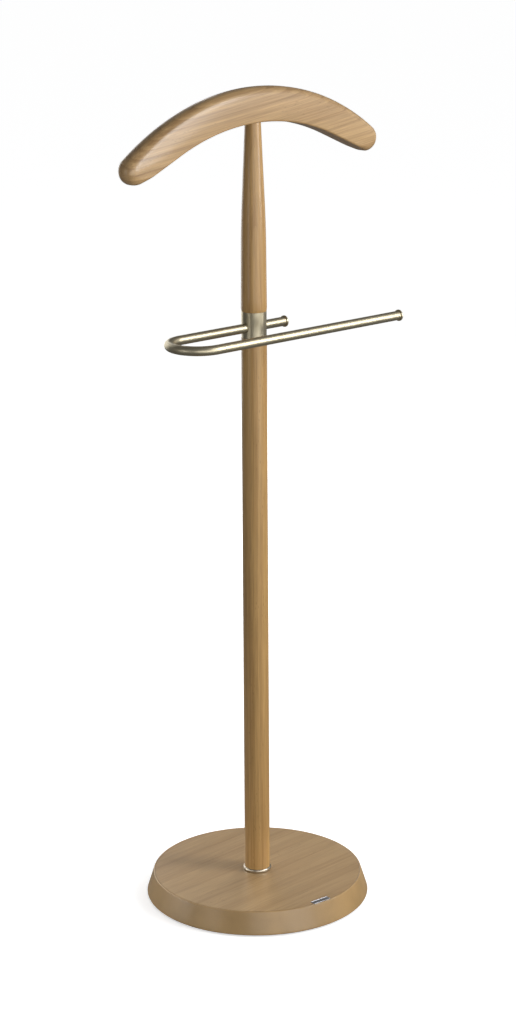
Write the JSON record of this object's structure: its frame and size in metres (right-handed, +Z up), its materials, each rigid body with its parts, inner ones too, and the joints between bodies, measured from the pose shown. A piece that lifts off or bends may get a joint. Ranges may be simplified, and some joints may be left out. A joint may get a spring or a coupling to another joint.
{
  "type": "valet stand",
  "caption": "Free-standing wooden valet stand: round weighted base, slim post, swivelling U-shaped metal trouser rail and a curved wooden suit hanger on top.",
  "frame": {"origin": "on the floor under the centre of the round base, on the post's axis", "axes": "+Z up along the post, +X along the hanger, -Y towards the front, where the badge plate is"},
  "size_m": [0.46, 0.3002, 1.1011],
  "materials": {
    "beech_hanger": "satin",
    "beech_post": "satin",
    "beech_dowel": "matte",
    "veneer": "satin",
    "lacquered_board": "satin",
    "champagne_nickel": "satin",
    "bright_nickel": "gloss",
    "core_zinc": "matte",
    "zinc_steel": "satin",
    "black_steel": "matte",
    "insert_brass": "satin",
    "nylon": "matte",
    "felt": "matte",
    "badge_metal": "satin"
  },
  "bodies": {
    "stand": {"lower_post": "beech_post", "post_top_insert": "insert_brass", "post_foot_insert": "insert_brass", "lower_pivot_screw": "zinc_steel", "lower_friction_washer": "nylon", "foot_ring": "bright_nickel", "base_board": "lacquered_board", "base_veneer": "veneer", "badge_plate": "badge_metal", "ballast_plate": "black_steel", "ballast_screws": "zinc_steel", "base_bolt": "zinc_steel", "base_washer": "zinc_steel", "felt_pads": "felt"},
    "rail_collar": {"sleeve": "champagne_nickel", "sleeve_core": "core_zinc", "sleeve_plug": "core_zinc", "rail_set_screw": "zinc_steel", "trouser_rail": "champagne_nickel", "rail_cap_short": "champagne_nickel", "rail_cap_long": "champagne_nickel"},
    "hanger_top": {"hanger": "beech_hanger", "hanger_dowel": "beech_dowel", "upper_post": "beech_post", "upper_post_insert": "insert_brass", "upper_pivot_screw": "zinc_steel", "upper_friction_washer": "nylon"}
  },
  "joints": [
    {"name": "rail_swivel", "type": "hinge", "parent": "stand", "child": "rail_collar", "pos_m": [0, 0, 0.771], "axis": [0, 0, 1], "continuous": true},
    {"name": "hanger_swivel", "type": "hinge", "parent": "rail_collar", "child": "hanger_top", "pos_m": [0, 0, 0.806], "axis": [0, 0, 1], "continuous": true}
  ]
}
